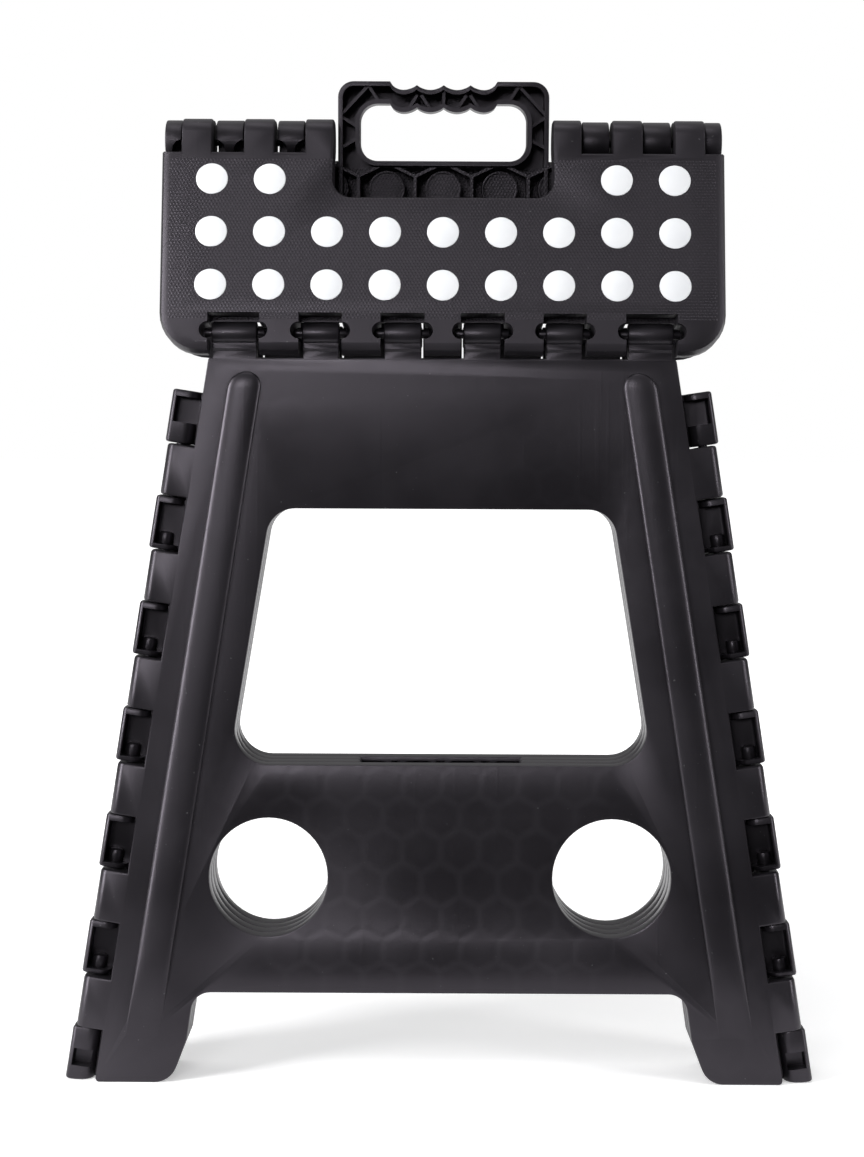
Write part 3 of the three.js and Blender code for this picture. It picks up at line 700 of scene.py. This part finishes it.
def seat_slots(top, side_gap, notches):
    """Openings for the leg panel's barrels, with round notches in their sides."""
    solids = []
    low = -SEAT_REACH - SEAT_LIP - 1
    for side in (-1, 1):
        for middle, half in LEG_FINGERS:
            x0, x1 = side * middle - half - side_gap, side * middle + half + side_gap
            loop = [(x0, low), (x1, low)]
            if notches:
                loop += arc(x1, -SEAT_REACH, NOTCH_R, -90, 90, 12)
            loop += [(x1, -SEAT_REACH + top), (x0, -SEAT_REACH + top)]
            if notches:
                loop += arc(x0, -SEAT_REACH, NOTCH_R, 90, 270, 12)
            solids.append(prism([loop], -SEAT_THICK - 1, 1))
    return gathered(solids)


def slot_backs():
    """Webs across the slots above the barrels, at the underside."""
    low = -SEAT_REACH + SEAT_HINGE_R + 0.8
    webs = []
    for side in (-1, 1):
        for middle, half in LEG_FINGERS:
            reach = half + FINGER_SIDE_GAP + 1
            webs.append(box(side * middle - reach, side * middle + reach, -4.5, -1.5, low, low + 4))
    return gathered(webs)


def centre_fingers(spans):
    """The fingers along the centre hinge, and the barrel at the end of each."""
    solids, barrels = [], []
    root = -CENTRE_SLOT - 6
    body = rounded([(-SEAT_THICK, root), (0, root), (0, FINGER_REACH),
                    (-SEAT_THICK, FINGER_REACH, FINGER_FRONT_R)], 10)
    for side in (-1, 1):
        for span in spans:
            low, high = sorted(side * x for x in span)
            solids.append(prism([body], low, high, ALONG_X, 1.0))
            barrels.append(prism([ring(0, 0, FINGER_R, 40)], low + 0.2, high - 0.2, ALONG_X, 0.8))
    return [gathered(solids), gathered(barrels)]


def centre_scoops(spans):
    """Room for the round fingers of the other half."""
    scoops = []
    for side in (-1, 1):
        for span in spans:
            end = span[1] + (2.0 if span[1] > OUTERMOST else SCOOP_ROOM)
            low, high = sorted((side * (span[0] - SCOOP_ROOM), side * end))
            scoops.append(prism([ring(0, 0, FINGER_SCOOP_R, 48)], low, high, ALONG_X))
    return gathered(scoops)


def centre_pins(spans):
    """Pins through the fingers, which don't stand out beside the handle."""
    pins = []
    for side in (-1, 1):
        for i, span in enumerate(spans):
            inner = span[0] - SEAT_PIN_REACH if i else span[0] + 2.0
            low, high = sorted((side * inner, side * (span[1] + SEAT_PIN_REACH)))
            pins.append(prism([ring(0, 0, PIN_R, 24)], low, high, ALONG_X, 0.3))
    return gathered(pins)


def lip_cells(slot_top):
    """Hollows between the hinge slots, from the underside."""
    ends = []
    for side in (-1, 1):
        for middle, half in LEG_FINGERS:
            reach = half + FINGER_SIDE_GAP
            ends += [side * middle - reach, side * middle + reach]
    edges = [SEAT_RIM - SEAT_HALF, *sorted(ends), SEAT_HALF - SEAT_RIM]
    solids = []
    low, high = -SEAT_REACH - SEAT_LIP + WALL, -SEAT_REACH + slot_top
    for start, end in zip(edges[::2], edges[1::2]):
        x0, x1 = start + NOTCH_R + 2.2, end - NOTCH_R - 2.2
        if start == edges[0]:
            x0 = start
        if end == edges[-1]:
            x1 = end
        if x1 - x0 > 3:
            solids.append(box(x0, x1, -SEAT_THICK + SKIN, 1, low + 3.5, high))
    return gathered(solids)


def seat_shell(is_front, slot_top):
    """The skin with its rim and ribs, hollow from the underside."""
    shell = prism(seat_loops(is_front), -SEAT_THICK, 0, FACING, SEAT_EDGE)
    lip = -SEAT_REACH - SEAT_LIP
    outline = both_sides([(SEAT_HALF, lip, SEAT_CORNER), (SEAT_HALF, 2 * SEAT_ROUND)])
    soft_sides = prism([rounded(outline)], -SEAT_THICK, 2 * SEAT_ROUND, FACING, SEAT_ROUND)
    combine(shell, soft_sides, "INTERSECT")
    chamfer_top = lip + CHAMFER_HEIGHT
    chamfer = [(-CHAMFER_DEPTH, lip - 1), (1, lip - 1), (1, chamfer_top), (-0.1, chamfer_top)]
    cut(shell, [prism([chamfer], -SEAT_HALF - 1, SEAT_HALF + 1, ALONG_X)])
    cells = prism(seat_cells(), -SEAT_THICK + SKIN, 1)
    region = prism(seat_loops(is_front, WALL), -SEAT_THICK, 2)
    rib = -SEAT_REACH + slot_top + RIB
    cut(region, [box(-200, 200, -30, 5, -250, rib)])
    combine(cells, region, "INTERSECT")
    cut(shell, [cells, lip_cells(slot_top)])
    bosses, rims = [], []
    inside = SKIN - SEAT_THICK
    for _, _, x, z in dot_places(is_front):
        bosses.append(prism([ring(x, z, BOSS_R - 1.2, 40)], inside - 0.5, inside + BOSS_HEIGHT))
        rims.append(prism([ring(x, z, BOSS_R, 40), ring(x, z, BOSS_R - BOSS_RIM, 40)],
                          inside - 0.5, inside + BOSS_HEIGHT + 1, FACING, 0.3))
    join(shell, [gathered(bosses), gathered(rims)])
    return cut(shell, [centre_scoops(REAR_FINGERS if is_front else FRONT_FINGERS)])


def dot_seats(is_front):
    """The shallow hollows that the dots sit in."""
    return gathered([prism([oval(x, z, 0.12)], -SEAT_THICK - 1, -SEAT_THICK + DOT_DEPTH)
                     for _, _, x, z in dot_places(is_front)])


def place_seat(obj, is_front):
    """Takes a mesh from the seat half's own frame to its place at rest."""
    lean = -SEAT_LEAN if is_front else SEAT_LEAN
    place = Matrix.Translation((0, 0, CENTRE_Z)) @ Matrix.Rotation(lean, 4, "X")
    if not is_front:
        place = place @ MIRROR_Y
    clean(obj.data, place)
    return obj


def front_seat():
    """The front seat half, with a ledge under the handle."""
    seat = seat_shell(True, FRONT_SLOT_TOP)
    join(seat, centre_fingers(FRONT_FINGERS))
    ledge = box(-RECESS_HALF - 1, RECESS_HALF + 1, -9, -0.4,
                -RECESS_DEPTH - 1, -RECESS_DEPTH + RECESS_LEDGE, 0.3)
    join(seat, [centre_pins(FRONT_FINGERS), ledge])
    cut(seat, [seat_slots(FRONT_SLOT_TOP, FINGER_SIDE_GAP, True), dot_seats(True)])
    return join(seat, [slot_backs()])


def rib_between(x0, z0, x1, z1, y0, y1):
    """A thin upright rib between two points."""
    along = Vector((x1 - x0, z1 - z0))
    across = Vector((-along.y, along.x)).normalized() * (RIB / 2)
    loop = [(x0 + across.x, z0 + across.y), (x0 - across.x, z0 - across.y),
            (x1 - across.x, z1 - across.y), (x1 + across.x, z1 + across.y)]
    return prism([loop], y0, y1)


def handle_ribs():
    """The truss inside the handle: crossed ribs in its corners and arms, zigzags along the grip."""
    y0, y1 = -SEAT_THICK + SKIN - 0.5, -3.0
    side, top = HANDLE_HALF, HANDLE_TOP
    lines = []
    for sign in (-1, 1):
        lines += [
            (sign * (side - 1), 14, sign * (side - 16), top - 2),
            (sign * (side - 16), top - 2, sign * (side - 23), 19),
            (sign * (side - 1), 14, sign * (side - 12), 7),
            (sign * (side - 1), -3, sign * (side - 12), 3),
            (sign * 22, 13, sign * 14, 25),
            (sign * 12, 25, sign * 4, 13),
        ]
    lines.append((0, 14, 0, 28))
    return [rib_between(x0, z0, x1, z1, y0, y1) for x0, z0, x1, z1 in lines]


def finger_notches():
    """Round hollows at the roots of the left fingers, from the underside."""
    notches = []
    for span in REAR_FINGERS:
        for x in span:
            if x < OUTERMOST:
                notches.append(prism([ring(-x, FINGER_NOTCH_Z, FINGER_NOTCH_R, 40)], -4, 11))
    return notches


def finger_gussets():
    """Thin feet at the roots of the rear fingers, which close the gaps beside the front ones."""
    feet = []
    for side in (-1, 1):
        for start, end in REAR_FINGERS:
            for edge, out in ((start, -GUSSET), (end, GUSSET)):
                if edge < OUTERMOST:
                    low, high = sorted((side * (edge + out), side * (edge - out)))
                    feet.append(box(low, high, 1 - SEAT_THICK, 4 - SEAT_THICK, -CENTRE_SLOT - 2, GUSSET_TOP))
    return gathered(feet)


def handle_frame():
    """The carrying handle: a hollow frame round the finger opening, open to the underside."""
    frame_solid = prism([handle_loop()], -SEAT_THICK, 0, FACING, 0.9)
    hollow = prism([handle_loop(WALL)], -SEAT_THICK + SKIN, 1)
    cut(hollow, [prism([grip_loop(WALL)], -30, 5)])
    cut(frame_solid, [hollow])
    join(frame_solid, handle_ribs())
    return cut(frame_solid, [box(-80, 80, -30, 5, -80, -RECESS_DEPTH - 6)])


def rear_seat():
    """The rear seat half, with the handle, and sockets for the front half's pins."""
    seat = seat_shell(False, REAR_SLOT_TOP)
    arm = HANDLE_HALF - WALL
    cut(seat, [box(-arm, arm, SKIN - SEAT_THICK, 1, -CENTRE_SLOT - WALL - 1, 0)])
    join(seat, [handle_frame(), *centre_fingers(REAR_FINGERS)])
    finger_opening = prism([grip_loop()], -SEAT_THICK - 1, 1)
    cut(seat, [finger_opening, seat_slots(REAR_SLOT_TOP, REAR_SIDE_GAP, False), dot_seats(False)])
    sockets = []
    for side in (-1, 1):
        for span in REAR_FINGERS:
            low, high = sorted(side * x for x in span)
            for start, end in ((low - 1, low + SOCKET_DEPTH), (high - SOCKET_DEPTH, high + 1)):
                sockets.append(prism([ring(0, 0, SOCKET_R, 24)], start, end, ALONG_X))
    cut(seat, [gathered(sockets), *finger_notches()])
    return join(seat, [finger_gussets()])


# ---- materials ----
class Nodes:
    """Adds shader nodes to a material and returns their outputs."""

    def __init__(self, tree):
        self.tree = tree

    def add(self, kind, inputs=(), output=0, **settings):
        node = self.tree.nodes.new(kind)
        for key, value in settings.items():
            setattr(node, key, value)
        for name, value in dict(inputs).items():
            socket = node.inputs[name]
            if isinstance(value, bpy.types.NodeSocket):
                self.tree.links.new(value, socket)
            else:
                socket.default_value = value
        return node.outputs[output]

    def maths(self, operation, *values):
        return self.add("ShaderNodeMath", enumerate(values), operation=operation)

    def vector(self, operation, *values, output=0):
        return self.add("ShaderNodeVectorMath", enumerate(values), output, operation=operation)

    def noise(self, where, scale, detail=2.0):
        return self.add("ShaderNodeTexNoise", {"Vector": where, "Scale": scale, "Detail": detail})

    def ramp(self, value, low, high, start=0.0, end=1.0):
        return self.add("ShaderNodeMapRange", {
            "Value": value, "From Min": low, "From Max": high, "To Min": start, "To Max": end},
            interpolation_type="SMOOTHSTEP")

    def bump(self, height, depth_mm, normal=None):
        inputs = {"Height": height, "Distance": depth_mm * MM, "Strength": 1.0}
        if normal is not None:
            inputs["Normal"] = normal
        return self.add("ShaderNodeBump", inputs)

    def cell_distance(self, where, pitch):
        """0 in the middle of a six-sided cell in the x-z plane, 0.5 on its border."""
        x = self.add("ShaderNodeSeparateXYZ", {"Vector": where})
        z = x.node.outputs[2]
        flat = self.add("ShaderNodeCombineXYZ", {
            "X": self.maths("DIVIDE", x, pitch * MM), "Y": self.maths("DIVIDE", z, pitch * MM)})
        half = (0.5, math.sqrt(3) / 2, 0.5)
        back = tuple(-value for value in half)
        distances = []
        for shift in ((0, 0, 0), (half[0], half[1], 0)):
            near = self.vector("ABSOLUTE", self.vector("WRAP", self.vector("ADD", flat, shift), half, back))
            slant = self.vector("DOT_PRODUCT", near, (0.5, math.sqrt(3) / 2, 0), output=1)
            across = self.add("ShaderNodeSeparateXYZ", {"Vector": near})
            distances.append(self.maths("MAXIMUM", across, slant))
        return self.maths("MINIMUM", *distances)


def principled(name, color, roughness):
    """A material, its shader, its node helper and the object's own coordinates."""
    material = bpy.data.materials.new(name)
    material.use_nodes = True
    shader = material.node_tree.nodes["Principled BSDF"]
    shader.inputs["Base Color"].default_value = (*color, 1)
    shader.inputs["Roughness"].default_value = roughness
    nodes = Nodes(material.node_tree)
    where = nodes.add("ShaderNodeTexCoord", output=3)
    return material, shader, nodes, where


def connect(nodes, **sockets):
    """Links outputs to the shader's sockets, named with _ for a space."""
    shader = nodes.tree.nodes["Principled BSDF"]
    for name, value in sockets.items():
        nodes.tree.links.new(value, shader.inputs[name.replace("_", " ")])


def mixed(nodes, factor, first, second):
    """A mix of two colours."""
    mix = nodes.tree.nodes.new("ShaderNodeMix")
    mix.data_type = "RGBA"
    for index, value in ((0, factor), (6, first), (7, second)):
        if isinstance(value, bpy.types.NodeSocket):
            nodes.tree.links.new(value, mix.inputs[index])
        else:
            mix.inputs[index].default_value = value
    return mix.outputs[2]


GRIP_FIELD_HALF = 141.0
GRIP_FIELD_LOW, GRIP_FIELD_HIGH = CENTRE_Z - 95.0, CENTRE_Z - 12.0
SINK_AND_SHEEN_HALF = 78.0  # sink marks, and the painted sheen along their ribs, show most between the round holes
SINK_AND_SHEEN_LOW, SINK_AND_SHEEN_HIGH = 62.0, 158.0
SINK_AND_SHEEN_BLUR = 26.0
SINK_AND_SHEEN_PITCH = 20.0
GRIP_PITCH = 1.8


def box_mask(nodes, x, z, half, low, high, blur):
    """1 inside a box in the x-z plane, falling to 0 across the blur outside it."""
    inside = nodes.ramp(nodes.maths("ABSOLUTE", x), (half + blur) * MM, half * MM)
    above = nodes.ramp(z, (low - blur) * MM, low * MM)
    below = nodes.ramp(z, (high + blur) * MM, high * MM)
    return nodes.maths("MULTIPLY", nodes.maths("MULTIPLY", inside, above), below)


def black_plastic(name, has_grip):
    """Black moulded plastic: faint ribs of the honeycomb behind, as sink-mark bumps with a painted sheen in
    the colour along them, flow lines, grain and a few pale specks.
    """
    material, shader, nodes, where = principled(name, (0.012, 0.011, 0.013), 0.4)
    shader.inputs["Specular IOR Level"].default_value = 0.36 if has_grip else 0.45
    shader.inputs["Specular Tint"].default_value = (0.95, 0.87, 1.0, 1)
    split = nodes.add("ShaderNodeSeparateXYZ", {"Vector": where})
    z = split.node.outputs[2]
    clouds = nodes.noise(where, 14.0, 4.0)
    cloudy = nodes.ramp(clouds, 0.3, 0.7)
    grain = nodes.noise(where, 900.0, 3.0)
    specks = nodes.ramp(nodes.noise(where, 700.0, 0.0), 0.84, 0.88, 0.0, 0.5)
    stretched = nodes.add("ShaderNodeMapping", {"Vector": where, "Scale": (260.0, 260.0, 5.0)})
    flow = nodes.ramp(nodes.noise(stretched, 1.0, 2.0), 0.55, 0.75)
    cell = nodes.cell_distance(where, DOT_PITCH_X if has_grip else SINK_AND_SHEEN_PITCH)
    patchy = nodes.ramp(nodes.noise(where, 9.0, 1.0), 0.45, 0.65, 0.0, 0.35)
    if not has_grip:
        sink_and_sheen = box_mask(nodes, split, z, SINK_AND_SHEEN_HALF, SINK_AND_SHEEN_LOW, SINK_AND_SHEEN_HIGH, SINK_AND_SHEEN_BLUR)
        patchy = nodes.maths("MAXIMUM", patchy, sink_and_sheen)
    # The rib mask shapes both the sink-mark bump and a painted sheen: the colour is lightened along the
    # honeycomb ribs.
    rib = nodes.maths("MULTIPLY", nodes.ramp(cell, 0.33, 0.5), patchy)
    color = mixed(nodes, cloudy, (0.0068, 0.0062, 0.0074, 1), (0.0098, 0.0090, 0.0106, 1))
    # Painted sheen: lighter colour along the ribs, standing in for light caught by the sink marks.
    color = mixed(nodes, nodes.maths("MULTIPLY", rib, 0.3), color, (0.019, 0.0178, 0.0205, 1))
    color = mixed(nodes, specks, color, (0.10, 0.10, 0.105, 1))
    rough = nodes.ramp(clouds, 0.3, 0.7, *((0.36, 0.48) if has_grip else (0.3, 0.4)))
    normal = nodes.bump(grain, 0.018)
    normal = nodes.bump(flow, 0.02, normal)
    normal = nodes.bump(nodes.maths("MULTIPLY", rib, -1.0), 0.05, normal)
    if has_grip:
        field = box_mask(nodes, split, z, GRIP_FIELD_HALF, GRIP_FIELD_LOW, GRIP_FIELD_HIGH, 1.0)
        stipple_and_highlight = nodes.ramp(nodes.cell_distance(where, GRIP_PITCH), 0.12, 0.38, 1.0, 0.0)
        stipple_and_highlight = nodes.maths("MULTIPLY", stipple_and_highlight, field)
        normal = nodes.bump(stipple_and_highlight, 0.12, normal)
        # Painted highlight: the stipple's raised dots are lightened in the colour, as if caught by the
        # light.
        color = mixed(nodes, nodes.maths("MULTIPLY", stipple_and_highlight, 0.5), color, (0.022, 0.020, 0.024, 1))
    connect(nodes, Base_Color=color, Roughness=rough, Normal=normal)
    return material


def white_insert():
    """Soft white inserts, faintly mottled."""
    material, _, nodes, where = principled("white_insert", (0.88, 0.89, 0.91), 0.5)
    clouds = nodes.noise(where, 60.0, 3.0)
    color = mixed(nodes, nodes.ramp(clouds, 0.3, 0.7), (0.70, 0.712, 0.735, 1), (0.74, 0.75, 0.768, 1))
    connect(nodes, Base_Color=color, Roughness=nodes.ramp(clouds, 0.3, 0.7, 0.42, 0.55),
            Normal=nodes.bump(nodes.noise(where, 1500.0, 2.0), 0.01))
    return material


leg_plastic = black_plastic("black_plastic_panel", False)
seat_plastic = black_plastic("black_plastic_seat", True)
dot_material = white_insert()


# ---- the stool ----
def add_stool():
    """Makes every piece and puts it on its body."""
    front = leg_panel(LEG_TOP, 0.0, True, True, True)
    rear = leg_panel(REAR_LEG_TOP, REAR_OPENING, False, True, False)
    clean(rear.data, MIRROR_Y)
    finish_piece(front, "front_leg_moulding", "front_leg_panel", "front_legs", leg_plastic)
    finish_piece(rear, "rear_leg_moulding", "rear_leg_panel", "rear_legs", leg_plastic)
    for is_front, layer in ((True, "front"), (False, "rear")):
        right = side_panel(is_front)
        left = copied(right, MIRROR_X)
        for obj, side in ((right, "right"), (left, "left")):
            name = f"{side}_{layer}_side"
            finish_piece(obj, f"{name}_moulding", f"{name}_panel", name, leg_plastic)
        half = place_seat(front_seat() if is_front else rear_seat(), is_front)
        finish_piece(half, f"{layer}_seat_moulding", f"{layer}_seat_half", f"{layer}_seat", seat_plastic)
        for row, across, x, z in dot_places(is_front):
            disc = prism([oval(x, z)], -SEAT_THICK - 0.05, -SEAT_THICK + DOT_DEPTH - 0.2, FACING, 0.25)
            node = f"{layer}_dot_row{row + 1}_{across + 5}"
            place_seat(disc, is_front)
            finish_piece(disc, f"{node}_disc", node, f"{layer}_seat", dot_material)


add_stool()


# ---- floor, light and camera ----
FLOOR_HALF = 15.0  # metres
FLOOR_FRONT = 0.14  # how far the floor runs in front of the stool, in metres
FLOOR_NEAR, FLOOR_FAR = 0.3, 1.1  # the floor gets its full glow between these distances
FLOOR_GLOW_NEAR, FLOOR_GLOW_FAR = 0.3, 0.9
FRONT_GLOW, BACK_GLOW, TOP_GLOW = 0.03, 0.25, 0.5


def add_stage():
    """A pale floor that glows more with distance, so that it meets the white background unseen."""
    work = bmesh.new()
    bmesh.ops.create_grid(work, x_segments=1, y_segments=1, size=FLOOR_HALF)
    mesh = bpy.data.meshes.new("floor")
    work.to_mesh(mesh)
    work.free()
    floor = new_object("floor", mesh)
    clean(mesh, Matrix.Translation((0, FLOOR_HALF - FLOOR_FRONT, 0)))
    material, shader, nodes, where = principled("floor_white", (0.95, 0.95, 0.955), 0.7)
    shader.inputs["Specular IOR Level"].default_value = 0.05
    color = mixed(nodes, nodes.noise(where, 3.0), (0.94, 0.94, 0.947, 1), (0.96, 0.96, 0.963, 1))
    distance = nodes.add("ShaderNodeVectorMath", {0: where}, operation="LENGTH", output=1)
    glow = nodes.ramp(distance, FLOOR_NEAR, FLOOR_FAR, FLOOR_GLOW_NEAR, FLOOR_GLOW_FAR)
    shader.inputs["Emission Color"].default_value = (1, 1, 1, 1)
    connect(nodes, Base_Color=color, Emission_Strength=glow)
    mesh.materials.append(material)


def add_light(name, place, target, size, power):
    """A rectangular light at place, turned to target; sizes in metres."""
    data = bpy.data.lights.new(name, "AREA")
    data.shape = "RECTANGLE"
    data.size, data.size_y = size
    data.energy = power
    obj = bpy.data.objects.new(name, data)
    bpy.context.scene.collection.objects.link(obj)
    obj.location = place
    obj.rotation_euler = (Vector(target) - Vector(place)).to_track_quat("-Z", "Y").to_euler()


def add_world():
    """White where the camera looks past the stool; dimmer in front, so the black plastic stays black."""
    world = bpy.data.worlds.new("studio")
    bpy.context.scene.world = world
    world.use_nodes = True
    nodes = Nodes(world.node_tree)
    direction = nodes.add("ShaderNodeTexCoord", output=0)
    split = nodes.add("ShaderNodeSeparateXYZ", {"Vector": direction})
    y, z = split.node.outputs[1], split.node.outputs[2]
    around = nodes.ramp(y, -0.5, 0.6, FRONT_GLOW, BACK_GLOW)
    above = nodes.ramp(z, 0.2, 1.0, 0.0, TOP_GLOW)
    glow = nodes.maths("ADD", around, above)
    sees = nodes.add("ShaderNodeLightPath")
    strength = nodes.maths("MAXIMUM", glow, sees)
    background = world.node_tree.nodes["Background"]
    background.inputs["Color"].default_value = (1, 1, 1, 1)
    world.node_tree.links.new(strength, background.inputs["Strength"])


def add_lights():
    """Soft boxes on both sides and behind the camera for the sheen, weaker light from above and behind."""
    middle = (0, 0, 0.26)
    add_light("top_softbox", (-0.2, -0.5, 2.2), middle, (1.4, 0.7), 8)
    add_light("left_softbox", (-1.3, -0.8, 0.5), middle, (0.4, 1.2), 32)
    add_light("right_softbox", (1.35, -0.75, 0.5), middle, (0.3, 1.1), 11)
    add_light("front_softbox", (-0.6, -2.4, 0.85), middle, (0.9, 0.5), 19)
    add_light("floor_wash", (0.0, 1.6, 3.2), (0, 0.6, 0), (5.0, 2.4), 8)


CAMERA_DISTANCE = 1.079
CAMERA_HEIGHT = 0.335
FRAME_HEIGHT = 0.6016
FRAME_MIDDLE = 0.2628
FACE_Y = -2 * PANEL * MM
SENSOR = 36.0
CAMERA_ROLL = -0.28  # degrees
CAMERA_SHIFT = -0.0087


def add_camera():
    """Frames the stool from the front, level, with the frame shifted down to take in the feet."""
    data = bpy.data.cameras.new("camera")
    camera = bpy.data.objects.new("camera", data)
    bpy.context.scene.collection.objects.link(camera)
    camera.location = (0, -CAMERA_DISTANCE, CAMERA_HEIGHT)
    camera.rotation_euler = (math.pi / 2, math.radians(CAMERA_ROLL), 0)
    data.sensor_width = SENSOR
    data.lens = SENSOR * (CAMERA_DISTANCE + FACE_Y) / FRAME_HEIGHT
    data.shift_x = CAMERA_SHIFT
    data.shift_y = (FRAME_MIDDLE - CAMERA_HEIGHT) / FRAME_HEIGHT
    bpy.context.scene.camera = camera


add_stage()
add_world()
add_lights()
add_camera()
bpy.context.scene.view_settings.view_transform = "Standard"
